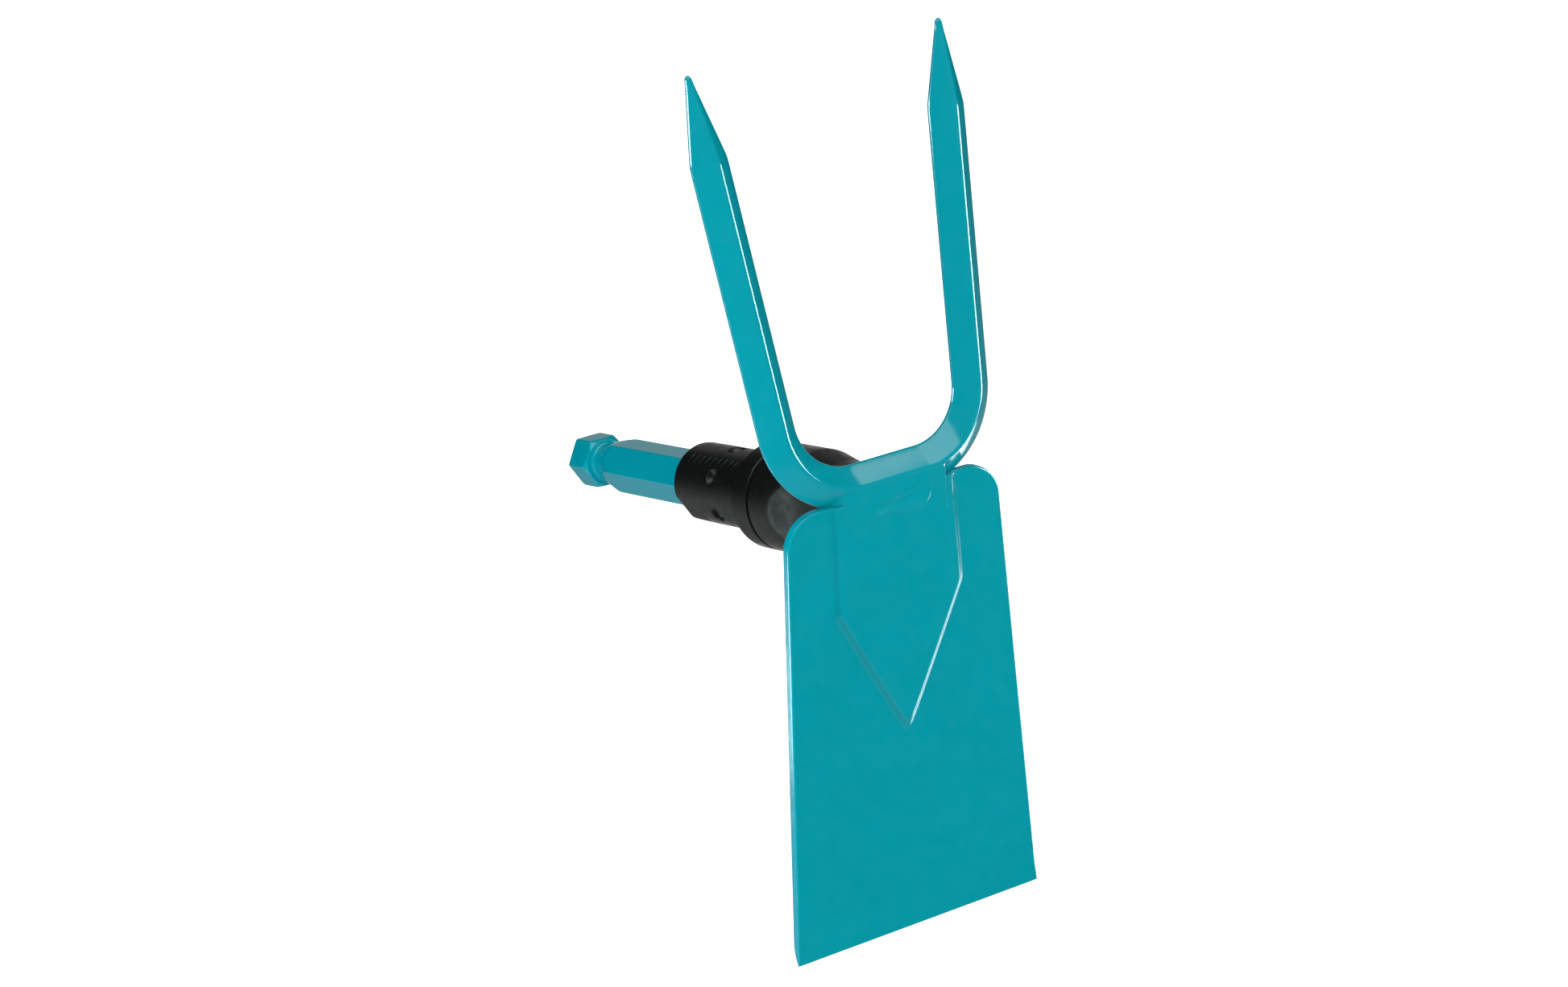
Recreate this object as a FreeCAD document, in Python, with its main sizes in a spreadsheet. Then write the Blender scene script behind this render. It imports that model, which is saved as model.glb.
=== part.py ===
"""Hoe and two-prong cultivator head on a hexagonal quick-coupling shank.

Frame: the origin is on the shank's axis, at the shoulder where the handle's mouth seats.
+Y runs along the shank towards its knob, +Z points up to the prongs, and the blade hangs
down at the front (-Y) end. Millimetres.
"""
import FreeCAD
import Part

import math
import os

import Sketcher

Vector = FreeCAD.Vector
Rotation = FreeCAD.Rotation
Placement = FreeCAD.Placement

DIMS = {
    # hexagonal shank, with a turned neck and a bolt-like knob at its free end
    "shank_flats": 14.2,
    "shank_front": 58.0,
    "shank_back": 103.2,
    "neck_taper_start": 79.2,
    "neck_start": 90.3,
    "neck_radius": 5.2,
    "knob_face": 93.2,
    "knob_face_radius": 6.9,
    "knob_full": 95.9,
    "knob_end_chamfer": 0.6,
    "turning_clear": 8.8,
    # plastic coupling sleeve with its flange
    "sleeve_radius": 11.2,
    "sleeve_length": 37.0,
    "sleeve_land": 14.5,
    "sleeve_draft": 0.1,
    "sleeve_rim": 0.5,
    "flange_radius": 15.0,
    "flange_thickness": 7.8,
    "flange_round": 0.7,
    "recess_radius": 2.3,
    "recess_depth": 1.8,
    "recess_at": 17.4,
    "facet_start": 25.2,
    "facet_distance": 10.4,
    # plastic hub behind the head
    "hub_radius": 15.0,
    "hub_gap": 0.8,
    "hub_register": 12.5,
    "hub_taper_start": 24.8,
    "hub_taper_end": 36.0,
    "hub_neck_radius": 12.9,
    "hub_front": 50.0,
    "hub_front_radius": 11.9,
    "hub_round": 0.8,
    "waist_half": 9.8,
    "waist_start": 36.2,
    "waist_sweep": 32.9,
    "waist_clear": 18.0,
    "bore_play": 0.03,
    # blade: a lean plate with a stamped shield and a cutting bevel
    "blade_front": 58.6,
    "blade_lean": 9.26,
    "blade_rise": 7.8,
    "blade_drop": 119.0,
    "blade_top_half": 33.6,
    "blade_bottom_half": 40.05,
    "blade_thickness": 2.8,
    "blade_shoulder": 10.0,
    "bevel_height": 5.5,
    "edge_thickness": 0.6,
    "shield_top_half": 19.6,
    "shield_kink_half": 21.0,
    "shield_kink_drop": 22.5,
    "shield_tip_drop": 62.5,
    "shield_raise": 1.6,
    "shield_slope": 45.0,
    # fork: a bent bar of diamond section with drawn-out points
    "bar_half_width": 6.2,
    "bar_half_depth": 5.6,
    "bar_round": 0.8,
    "fork_middle": 57.3,
    "fork_base": 11.2,
    "fork_bend": 20.0,
    "fork_corner_half": 29.3,
    "prong_splay": 4.86,
    "fork_lean": 0.93,
    "point_start": 103.0,
    "prong_tip": 125.6,
    "point_end_half": 1.1,
    # weld beads between the blade, the fork and the shank
    "front_bead_half": 15.5,
    "front_bead_foot": 1.0,
    "front_bead_belly": 62.2,
    "front_bead_top": 10.4,
    "rear_bead_half": 12.0,
    "rear_bead_foot": 2.4,
    "rear_bead_reach": 52.4,
    "rear_bead_top": 9.4,
    "ring_radius": 12.0,
    "ring_back_radius": 8.6,
    "ring_length": 5.6,
    "ring_top": 3.0,
}

doc = FreeCAD.newDocument("hoe_fork_head")
sheet = doc.addObject("Spreadsheet::Sheet", "dims")
for row, (alias, value) in enumerate(DIMS.items(), start=1):
    sheet.set(f"A{row}", alias)
    sheet.set(f"B{row}", str(value))
    sheet.setAlias(f"B{row}", alias)
doc.recompute()


# ---------------------------------------------------------------- helpers

def new_body(label):
    body = doc.addObject("PartDesign::Body", label)
    body.Label = label
    return body


def new_sketch(body, name, role, offset=None, turn=0.0):
    """A sketch on one of the body's origin planes, moved along its normal by an expression."""
    sketch = body.newObject("Sketcher::SketchObject", name)
    plane = next(f for f in body.Origin.OriginFeatures if f.Role == role)
    sketch.AttachmentSupport = [(plane, "")]
    sketch.MapMode = "FlatFace"
    sketch.AttachmentOffset = Placement(Vector(), Rotation(Vector(0, 0, 1), turn))
    if offset:
        sketch.setExpression("AttachmentOffset.Base.z", offset)
    return sketch


def pin_point(sketch, geometry, position, x_expression, y_expression, start):
    """Holds one point of a sketch at coordinates given as spreadsheet expressions."""
    pairs = (("DistanceX", x_expression, start.x), ("DistanceY", y_expression, start.y))
    for kind, expression, value in pairs:
        name = f"{kind}_{geometry}_{position}"
        index = sketch.addConstraint(
            Sketcher.Constraint(kind, -1, 1, geometry, position, value))
        sketch.renameConstraint(index, name)
        sketch.setExpression(f"Constraints.{name}", expression)


def polygon(sketch, corners):
    """A closed outline whose corners are pairs of spreadsheet expressions."""
    count = len(corners)
    turns = [2 * math.pi * i / count for i in range(count)]
    start = [Vector(10 * math.cos(t), 10 * math.sin(t), 0) for t in turns]
    first = sketch.GeometryCount
    for i in range(count):
        sketch.addGeometry(Part.LineSegment(start[i], start[(i + 1) % count]), False)
    for i in range(count):
        following = first + (i + 1) % count
        sketch.addConstraint(Sketcher.Constraint("Coincident", first + i, 2, following, 1))
    for i, (x_expression, y_expression) in enumerate(corners):
        pin_point(sketch, first + i, 1, x_expression, y_expression, start[i])


def circle(sketch, x_expression, y_expression, radius_expression):
    index = sketch.addGeometry(Part.Circle(Vector(1, 1, 0), Vector(0, 0, 1), 2), False)
    pin_point(sketch, index, 3, x_expression, y_expression, Vector(1, 1, 0))
    radius = sketch.addConstraint(Sketcher.Constraint("Radius", index, 2))
    sketch.renameConstraint(radius, f"radius_{index}")
    sketch.setExpression(f"Constraints.radius_{index}", radius_expression)


def hexagon(sketch, flats_expression):
    """Hexagon with corners on the sketch's X axis and flats above and below."""
    corners = []
    for i in range(6):
        angle = 60 * i
        reach = f"({flats_expression}) / sqrt(3)"
        corners.append((f"{reach} * cos({angle} deg)", f"{reach} * sin({angle} deg)"))
    polygon(sketch, corners)


def feature(body, kind, name, profile, **settings):
    item = body.newObject(f"PartDesign::{kind}", name)
    item.Profile = profile
    for key, value in settings.items():
        if isinstance(value, str) and value.startswith("dims."):
            item.setExpression(key, value)
        else:
            setattr(item, key, value)
    return item


def turned(body, kind, name, corners):
    """Revolution or Groove of an outline in the YZ plane about the shank's axis."""
    sketch = new_sketch(body, f"{name}_profile", "YZ_Plane")
    polygon(sketch, corners)
    return feature(body, kind, name, sketch,
                   ReferenceAxis=(sketch, ["H_Axis"]), Angle=360.0)


def must_remove(body, cut, name):
    """A cut that points away from the solid removes nothing and raises no error."""
    doc.recompute()
    before = cut.BaseFeature.Shape.Volume
    if not cut.Shape.Volume < before - 0.5:
        raise ValueError(f"{body.Label}: {name} removed nothing")


# ---------------------------------------------------------------- hexagonal shank

def make_shank():
    body = new_body("shank_blank")
    section = new_sketch(body, "shank_section", "XZ_Plane", "-dims.shank_back")
    hexagon(section, "dims.shank_flats")
    bar = feature(body, "Pad", "hex_bar", section)
    bar.setExpression("Length", "dims.shank_back + dims.shank_front")
    neck = turned(body, "Groove", "neck", [
        ("dims.neck_taper_start", "dims.turning_clear"),
        ("dims.neck_start", "dims.neck_radius"),
        ("dims.knob_face", "dims.neck_radius"),
        ("dims.knob_face", "dims.knob_face_radius"),
        ("dims.knob_full", "dims.turning_clear"),
    ])
    must_remove(body, neck, "neck")
    corner = "dims.shank_flats / sqrt(3)"
    rim = turned(body, "Groove", "knob_rim", [
        ("dims.shank_back + 0.1", f"{corner} - dims.knob_end_chamfer - 0.1"),
        ("dims.shank_back + 0.1", f"{corner} + 0.1"),
        ("dims.shank_back - dims.knob_end_chamfer - 0.1", f"{corner} + 0.1"),
    ])
    must_remove(body, rim, "knob rim")
    return body


# ---------------------------------------------------------------- coupling sleeve

def hex_bore(body, name):
    """Through bore that fits the shank, with the small play of a moulded fit."""
    section = new_sketch(body, f"{name}_section", "XZ_Plane")
    hexagon(section, "dims.shank_flats + 2 * dims.bore_play")
    bore = feature(body, "Pocket", name, section, Type="ThroughAll", Midplane=True)
    must_remove(body, bore, name)
    return bore


def make_sleeve():
    body = new_body("coupling_sleeve")
    turned(body, "Revolution", "sleeve_and_flange", [
        ("-dims.flange_thickness", "0"),
        ("-dims.flange_thickness", "dims.flange_radius - dims.flange_round"),
        ("-dims.flange_thickness + dims.flange_round", "dims.flange_radius"),
        ("-dims.flange_round", "dims.flange_radius"),
        ("0", "dims.flange_radius - dims.flange_round"),
        ("0", "dims.sleeve_radius"),
        ("dims.sleeve_land", "dims.sleeve_radius"),
        ("dims.sleeve_length - dims.sleeve_rim", "dims.sleeve_radius - dims.sleeve_draft"),
        ("dims.sleeve_length", "dims.sleeve_radius - dims.sleeve_draft - dims.sleeve_rim"),
        ("dims.sleeve_length", "0"),
    ])
    for name, turn in (("facet_left", 120.0), ("facet_right", -120.0)):
        section = new_sketch(body, f"{name}_section", "XZ_Plane",
                             "-dims.sleeve_length", turn)
        polygon(section, [
            ("-dims.sleeve_radius", "dims.facet_distance"),
            ("dims.sleeve_radius", "dims.facet_distance"),
            ("dims.sleeve_radius", "dims.flange_radius"),
            ("-dims.sleeve_radius", "dims.flange_radius"),
        ])
        facet = feature(body, "Pocket", name, section, Reversed=True)
        facet.setExpression("Length", "dims.sleeve_length - dims.facet_start")
        must_remove(body, facet, name)
    section = new_sketch(body, "recess_section", "XY_Plane", "dims.sleeve_radius")
    circle(section, "0", "dims.recess_at", "dims.recess_radius")
    recess = feature(body, "Pocket", "recess", section, Length="dims.recess_depth")
    must_remove(body, recess, "recess")
    ring = body.newObject("PartDesign::PolarPattern", "recess_ring")
    ring.Originals = [recess]
    axis = next(f for f in body.Origin.OriginFeatures if f.Role == "Y_Axis")
    ring.Axis = (axis, [""])
    ring.Angle = 360.0
    ring.Occurrences = 6
    body.Tip = ring
    doc.recompute()
    hex_bore(body, "sleeve_bore")
    return body


# ---------------------------------------------------------------- hub

def waist_outline(sketch, side):
    """Outline beside the hub: a curve that meets the straight side of the waist."""
    flat_x = f"{side} * dims.waist_half"
    clear_x = f"{side} * dims.waist_clear"
    half, clear = DIMS["waist_half"], DIMS["waist_clear"]
    sweep, start_y = DIMS["waist_sweep"], -DIMS["waist_start"]
    end_y = -DIMS["hub_front"] - 2
    turn = math.acos(1 - (clear - half) / sweep)
    polygon_start = [Vector(side * half, start_y, 0), Vector(side * half, end_y, 0),
                     Vector(side * clear, end_y, 0),
                     Vector(side * clear, start_y + sweep * math.sin(turn), 0)]
    flat, end, outside = (
        sketch.addGeometry(Part.LineSegment(a, b), False)
        for a, b in zip(polygon_start[:-1], polygon_start[1:])
    )
    middle = Vector(side * (half + sweep * (1 - math.cos(turn / 2))),
                    start_y + sweep * math.sin(turn / 2), 0)
    arc = sketch.addGeometry(
        Part.Arc(polygon_start[3], middle, polygon_start[0]), False)
    swept = sketch.getPoint(arc, 1)
    arc_start = 1 if swept.distanceToPoint(polygon_start[3]) < 1e-6 else 2
    arc_end = 3 - arc_start
    for first, first_end, second, second_end in (
            (flat, 2, end, 1), (end, 2, outside, 1),
            (outside, 2, arc, arc_start), (arc, arc_end, flat, 1)):
        sketch.addConstraint(
            Sketcher.Constraint("Coincident", first, first_end, second, second_end))
    pin_point(sketch, flat, 1, flat_x, "-dims.waist_start", polygon_start[0])
    pin_point(sketch, end, 1, flat_x, "-dims.hub_front - 2", polygon_start[1])
    pin_point(sketch, end, 2, clear_x, "-dims.hub_front - 2", polygon_start[2])
    pin_point(sketch, arc, arc_start, clear_x,
              "-dims.waist_start + sqrt(dims.waist_sweep ^ 2 - (dims.waist_sweep"
              " - dims.waist_clear + dims.waist_half) ^ 2)", polygon_start[3])
    radius = sketch.addConstraint(Sketcher.Constraint("Radius", arc, sweep))
    sketch.renameConstraint(radius, "sweep")
    sketch.setExpression("Constraints.sweep", "dims.waist_sweep")


def make_hub():
    body = new_body("hub_cover")
    back = "-dims.flange_thickness"
    face = "-dims.flange_thickness - dims.hub_gap"
    turned(body, "Revolution", "hub_form", [
        (back, "0"),
        (back, "dims.hub_register"),
        (face, "dims.hub_register"),
        (face, "dims.hub_radius - dims.hub_round"),
        (f"{face} - dims.hub_round", "dims.hub_radius"),
        ("-dims.hub_taper_start", "dims.hub_radius"),
        ("-dims.hub_taper_end", "dims.hub_neck_radius"),
        ("-dims.hub_front + dims.hub_round", "dims.hub_front_radius"),
        ("-dims.hub_front", "dims.hub_front_radius - dims.hub_round"),
        ("-dims.hub_front", "0"),
    ])
    for name, side in (("waist_left", -1), ("waist_right", 1)):
        section = new_sketch(body, f"{name}_section", "XY_Plane")
        waist_outline(section, side)
        waist = feature(body, "Pocket", name, section, Type="ThroughAll", Midplane=True)
        must_remove(body, waist, name)
    hex_bore(body, "hub_bore")
    return body


# ---------------------------------------------------------------- blade

def make_blade():
    """Built upright with its front face on the XZ plane, then leaned by the placement."""
    body = new_body("blade_blank")
    outline = new_sketch(body, "plate_outline", "XZ_Plane")
    polygon(outline, [
        ("-dims.blade_top_half", "dims.blade_rise"),
        ("dims.blade_top_half", "dims.blade_rise"),
        ("dims.blade_bottom_half", "-dims.blade_drop"),
        ("-dims.blade_bottom_half", "-dims.blade_drop"),
    ])
    plate = feature(body, "Pad", "plate", outline,
                    Length="dims.blade_thickness", Reversed=True)
    doc.recompute()
    shoulders = [
        f"Edge{i}" for i, edge in enumerate(plate.Shape.Edges, start=1)
        if all(abs(v.Z - DIMS["blade_rise"]) < 1e-6 for v in edge.Vertexes)
        and abs(edge.Vertexes[0].X - edge.Vertexes[1].X) < 1e-6
    ]
    rounded = body.newObject("PartDesign::Fillet", "shoulders")
    rounded.Base = (plate, shoulders)
    rounded.setExpression("Radius", "dims.blade_shoulder")
    doc.recompute()

    def shield(name, above, offset=None):
        sketch = new_sketch(body, name, "XZ_Plane", offset)
        polygon(sketch, [
            ("-dims.shield_top_half", above),
            ("dims.shield_top_half", above),
            ("dims.shield_kink_half", "-dims.shield_kink_drop"),
            ("0", "-dims.shield_tip_drop"),
            ("-dims.shield_kink_half", "-dims.shield_kink_drop"),
        ])
        return sketch

    above = "dims.blade_rise + dims.shield_raise * 2"
    raised = feature(body, "Pad", "shield_front", shield("shield_outline", above),
                     Length="dims.shield_raise")
    raised.setExpression("TaperAngle", "-dims.shield_slope")
    pressed = feature(body, "Pocket", "shield_back",
                      shield("shield_back_outline", above, "-dims.blade_thickness"),
                      Length="dims.shield_raise", Reversed=True)
    pressed.setExpression("TaperAngle", "-dims.shield_slope")
    must_remove(body, pressed, "shield back")
    trim = new_sketch(body, "top_trim_outline", "XZ_Plane")
    polygon(trim, [
        ("-dims.blade_top_half", "dims.blade_rise"),
        ("dims.blade_top_half", "dims.blade_rise"),
        ("dims.blade_top_half", "dims.blade_rise + 10"),
        ("-dims.blade_top_half", "dims.blade_rise + 10"),
    ])
    trimmed = feature(body, "Pocket", "top_trim", trim, Type="ThroughAll", Midplane=True)
    must_remove(body, trimmed, "top trim")
    bevel_outline = new_sketch(body, "bevel_outline", "YZ_Plane")
    polygon(bevel_outline, [
        ("dims.blade_thickness + 0.1", "-dims.blade_drop + dims.bevel_height"),
        ("dims.blade_thickness", "-dims.blade_drop + dims.bevel_height"),
        ("dims.edge_thickness", "-dims.blade_drop"),
        ("dims.edge_thickness", "-dims.blade_drop - 1"),
        ("dims.blade_thickness + 0.1", "-dims.blade_drop - 1"),
    ])
    bevel = feature(body, "Pocket", "cutting_bevel", bevel_outline,
                    Type="ThroughAll", Midplane=True)
    must_remove(body, bevel, "cutting bevel")
    body.setExpression("Placement.Base.y", "-dims.blade_front")
    body.Placement.Rotation = Rotation(Vector(1, 0, 0), DIMS["blade_lean"])
    return body


# ---------------------------------------------------------------- fork

def rounded_loop(corners, radius):
    """Closed wire through the corners, each rounded by a tangent arc."""
    edges = []
    previous_end = None
    first_start = None
    for i, corner in enumerate(corners):
        back = (corners[i - 1] - corner).normalize()
        ahead = (corners[(i + 1) % len(corners)] - corner).normalize()
        half = back.getAngle(ahead) / 2
        start = corner + back * (radius / math.tan(half))
        end = corner + ahead * (radius / math.tan(half))
        inward = (back + ahead).normalize()
        middle = corner + inward * (radius / math.sin(half) - radius)
        if previous_end:
            edges.append(Part.LineSegment(previous_end, start).toShape())
        else:
            first_start = start
        edges.append(Part.Arc(start, middle, end).toShape())
        previous_end = end
    edges.append(Part.LineSegment(previous_end, first_start).toShape())
    return Part.Wire(edges)


def make_fork():
    """Built upright with its centre line in the XZ plane, then leaned by the placement."""
    splay = math.radians(DIMS["prong_splay"])
    base = DIMS["fork_base"]
    bend = DIMS["fork_bend"]
    corner = DIMS["fork_corner_half"]
    tangent = bend * math.tan((math.pi / 2 - splay) / 2)
    along = Vector(math.sin(splay), 0, math.cos(splay))
    corner_point = Vector(corner, 0, base)
    bend_start = Vector(corner - tangent, 0, base)
    bend_end = corner_point + along * tangent
    bend_centre = bend_start + Vector(0, 0, bend)
    bend_middle = bend_centre + (corner_point - bend_centre).normalize() * bend
    point_start = corner_point + along * ((DIMS["point_start"] - base) / along.z)
    tip = corner_point + along * ((DIMS["prong_tip"] - base) / along.z)

    def section(centre, direction, share):
        """Rounded diamond wire, square to the bar's direction at that place."""
        across = Vector(0, 1, 0).cross(direction).normalize()
        wide = across * (DIMS["bar_half_width"] * share)
        deep = Vector(0, DIMS["bar_half_depth"] * share, 0)
        corners = [centre + wide, centre + deep, centre - wide, centre - deep]
        return rounded_loop(corners, DIMS["bar_round"] * share)

    path = Part.Wire([
        Part.LineSegment(Vector(0, 0, base), bend_start).toShape(),
        Part.Arc(bend_start, bend_middle, bend_end).toShape(),
        Part.LineSegment(bend_end, point_start).toShape(),
    ])
    bar = path.makePipeShell([section(Vector(0, 0, base), Vector(1, 0, 0), 1.0)], True, True)
    end_share = DIMS["point_end_half"] / DIMS["bar_half_width"]
    point = Part.makeLoft([section(point_start, along, 1.0), section(tip, along, end_share)],
                          True, True)
    half = bar.fuse(point)
    whole = half.fuse(half.mirror(Vector(), Vector(1, 0, 0))).removeSplitter()
    fork = doc.addObject("Part::Feature", "two_prong_fork")
    fork.Shape = whole
    fork.Placement = Placement(Vector(0, -DIMS["fork_middle"], 0),
                               Rotation(Vector(1, 0, 0), -DIMS["fork_lean"]))
    return fork


# ---------------------------------------------------------------- joining the pieces

def cut(label, base, *tools):
    """base less the tools, so that pieces that meet do so face to face."""
    for i, tool in enumerate(tools):
        last = i == len(tools) - 1
        item = doc.addObject("Part::Cut", label if last else f"{label}_stage_{i}")
        item.Base = base
        item.Tool = tool
        base = item
    base.Label = label
    return base


def bead_blank(name, half_length, outline):
    """A bead of constant section along X, centred on the middle of the head."""
    body = new_body(f"{name}_blank")
    section = new_sketch(body, f"{name}_section", "YZ_Plane")
    polygon(section, outline)
    bead = feature(body, "Pad", f"{name}_run", section, Midplane=True)
    bead.setExpression("Length", f"2 * {half_length}")
    return body


def make_front_bead():
    """Fills the corner between the shield's top and the underside of the fork."""
    behind = "-dims.fork_middle - dims.blade_thickness * 0.8"
    return bead_blank("front_bead", "dims.front_bead_half", [
        (behind, "dims.front_bead_foot"),
        ("-dims.blade_front - dims.shield_raise", "dims.front_bead_foot"),
        ("-dims.front_bead_belly", "dims.blade_rise - 0.8"),
        ("-dims.front_bead_belly - 0.6", "dims.front_bead_top"),
        (behind, "dims.front_bead_top"),
    ])


def make_rear_bead():
    """Joins the back of the fork to the shank's top and to the back of the blade."""
    return bead_blank("rear_bead", "dims.rear_bead_half", [
        ("-dims.blade_front + 0.6", "dims.rear_bead_foot"),
        ("-dims.rear_bead_reach - 2", "dims.rear_bead_top - 3"),
        ("-dims.rear_bead_reach", "dims.rear_bead_top"),
        ("-dims.rear_bead_reach - 2", "dims.rear_bead_top"),
        ("-dims.blade_front + 0.2", "dims.blade_rise - 1"),
    ])


def make_ring_bead():
    """Runs round the lower half of the shank, against the back of the blade."""
    cone = doc.addObject("Part::Cone", "ring_cone")
    cone.setExpression("Radius1", "dims.ring_radius")
    cone.setExpression("Radius2", "dims.ring_back_radius")
    cone.setExpression("Height", "dims.ring_length")
    cone.Placement.Rotation = Rotation(Vector(1, 0, 0), -90)
    cone.setExpression("Placement.Base.y", "-dims.blade_front + 0.8")
    upper = doc.addObject("Part::Box", "ring_upper_half")
    upper.setExpression("Length", "4 * dims.ring_radius")
    upper.setExpression("Width", "4 * dims.ring_length")
    upper.setExpression("Height", "2 * dims.ring_radius")
    upper.setExpression("Placement.Base.x", "-2 * dims.ring_radius")
    upper.setExpression("Placement.Base.y", "-dims.blade_front - dims.ring_length")
    upper.setExpression("Placement.Base.z", "dims.ring_top")
    return cone, upper


shank_blank = make_shank()
sleeve = make_sleeve()
hub = make_hub()
blade_blank = make_blade()
fork = make_fork()

blade = cut("hoe_blade", blade_blank, fork)
shank = cut("hex_shank", shank_blank, blade_blank, fork)
front_bead = cut("fork_front_weld", make_front_bead(), blade_blank, fork)
rear_bead = cut("fork_rear_weld", make_rear_bead(), blade_blank, fork, shank_blank)
ring_cone, ring_upper = make_ring_bead()
ring_bead = cut("shank_weld", ring_cone, ring_upper, blade_blank, shank_blank,
                fork, rear_bead)

NODES = [blade, fork, shank, sleeve, hub, front_bead, rear_bead, ring_bead]

doc.recompute()
for item in doc.Objects:
    if "Invalid" in item.State or "Error" in item.State:
        raise ValueError(f"{item.Label} did not recompute: {item.State}")
for node in NODES:
    if node.Shape.isNull() or not node.Shape.isValid():
        raise ValueError(f"{node.Label} has no valid shape")

os.makedirs("parts", exist_ok=True)
for node in NODES:
    node.Shape.exportStep(f"parts/{node.Label}.step")
    box = node.Shape.BoundBox
    print(f"{node.Label}: {len(node.Shape.Solids)} solid, {node.Shape.Volume:.1f} mm3, "
          f"x {box.XMin:.1f}..{box.XMax:.1f} y {box.YMin:.1f}..{box.YMax:.1f} "
          f"z {box.ZMin:.1f}..{box.ZMax:.1f}")
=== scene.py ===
"""Looks of the hoe and two-prong cultivator head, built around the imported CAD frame.

Lengths in this script are millimetres in the row frame: the origin is on the shank's axis at the
handle's shoulder, +Y runs to the knob, +Z up to the prongs. Meshes are scaled to metres at the end.
"""

import bpy
import numpy as np
from mathutils import Matrix, Vector


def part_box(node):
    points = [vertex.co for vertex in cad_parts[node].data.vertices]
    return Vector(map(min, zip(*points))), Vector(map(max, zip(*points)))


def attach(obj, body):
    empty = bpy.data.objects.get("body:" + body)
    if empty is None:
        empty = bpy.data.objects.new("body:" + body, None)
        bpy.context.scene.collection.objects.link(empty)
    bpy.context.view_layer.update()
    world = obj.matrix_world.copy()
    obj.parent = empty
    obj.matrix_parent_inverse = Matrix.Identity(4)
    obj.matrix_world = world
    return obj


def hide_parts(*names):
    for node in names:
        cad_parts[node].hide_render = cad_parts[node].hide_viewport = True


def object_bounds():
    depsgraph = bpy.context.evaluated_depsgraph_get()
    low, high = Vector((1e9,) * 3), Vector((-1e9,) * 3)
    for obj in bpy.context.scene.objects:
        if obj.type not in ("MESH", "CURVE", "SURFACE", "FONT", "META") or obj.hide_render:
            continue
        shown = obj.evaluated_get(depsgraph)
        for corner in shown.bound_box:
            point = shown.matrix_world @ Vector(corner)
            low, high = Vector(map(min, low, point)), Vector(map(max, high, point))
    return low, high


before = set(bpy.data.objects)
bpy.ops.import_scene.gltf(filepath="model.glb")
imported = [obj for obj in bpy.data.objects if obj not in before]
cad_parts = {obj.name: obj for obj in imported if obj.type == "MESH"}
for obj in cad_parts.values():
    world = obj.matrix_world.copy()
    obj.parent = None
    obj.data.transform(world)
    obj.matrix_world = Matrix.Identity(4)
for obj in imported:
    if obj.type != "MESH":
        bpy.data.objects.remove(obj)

MM = 0.001
cad_low, cad_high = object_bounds()


def box(node):
    """Lowest and highest corner of a CAD node, in millimetres."""
    low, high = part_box(node)
    return np.array(low) / MM, np.array(high) / MM


SHANK_LOW, SHANK_HIGH = box("hex_shank")
SLEEVE_LOW, SLEEVE_HIGH = box("coupling_sleeve")
HUB_FRONT = box("hub_cover")[0][1]

# hexagonal shank
SHANK_APOTHEM = SHANK_HIGH[2]
SHANK_EDGE = 0.5
SHANK_END_PLAY = 0.4
NECK_TAPER_START = 79.2
NECK_START = 90.3
NECK_RADIUS = 5.2
NECK_FILLET = 3.0
KNOB_FILLET = 1.1
KNOB_FACE = 93.2
KNOB_FACE_RADIUS = 6.9
KNOB_FULL = 95.9
KNOB_CORNER = 7.7
KNOB_RIM = 0.55
CLEAR_RADIUS = 9.2      # outside the hexagon's corners, so the flats decide the shape
PAINT_BLEND = 0.35      # how far the enamel rounds an inner or outer edge

# plastic sleeve and hub
SLEEVE_RADIUS = 11.2
SLEEVE_RIM = 0.7
FLANGE_RADIUS = 15.0
FLANGE_FACE = SLEEVE_LOW[1]
RECESS_RADIUS = 2.3
RECESS_DEPTH = 1.8
RECESS_AT = 17.4
FACET_START = 25.2
FACET_DISTANCE = 10.4
FACET_ANGLES = (210, 330)
SLEEVE_TAPER = 0.1
BORE_PLAY = 0.03
BORE_FACE_RADIUS = 9.0  # where the end faces begin, just outside the bore
HUB_RADIUS = 15.0
HUB_FACE = FLANGE_FACE - 0.8
HUB_SEAT = FLANGE_FACE - 0.02
REGISTER_RADIUS = 12.5
HUB_TAPER_START = -24.8
HUB_TAPER_END = -36.0
HUB_NECK_RADIUS = 12.9
HUB_FRONT_RADIUS = 11.9
WAIST_HALF = 9.8
WAIST_START = -36.2
WAIST_SWEEP = 32.9

# blade, in its own plane: across, up the plate, and out of its front face
BLADE_FRONT = 58.6
BLADE_LEAN = np.radians(9.26)
BLADE_RISE = 7.8
BLADE_DROP = 119.0
BLADE_TOP_HALF = 33.6
BLADE_BOTTOM_HALF = 40.05
BLADE_THICKNESS = 2.8
BLADE_SHOULDER = 10.0
BLADE_EDGE = 0.6
CUTTING_EDGE = 0.22
BEVEL_HEIGHT = 5.5
BEVEL_DEPTH = 2.15
SHIELD_TOP_HALF = 19.6
SHIELD_KINK_HALF = 20.6
SHIELD_KINK_DROP = 22.5
SHIELD_TIP_DROP = 62.5
SHIELD_RAISE = 1.6
SHIELD_TOP_RAISE = 0.8
SHIELD_TIP_SOFT = 1.2
SHIELD_OFFSET = 0.5
SHIELD_STEEPNESS = 1.5
WELD_SINK = 1.3

# front weld, in the blade's plane
WELD_LEFT, WELD_RIGHT = -19.2, 17.4
WELD_FOOT = -3.0
WELD_TOP = 11.7         # just under the ridge of the fork's base
WELD_FLOOR = -1.6
WELD_PROUD = 0.12
WELD_TUCK = 0.05        # how far weld metal dips under the steel where it ends

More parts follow.
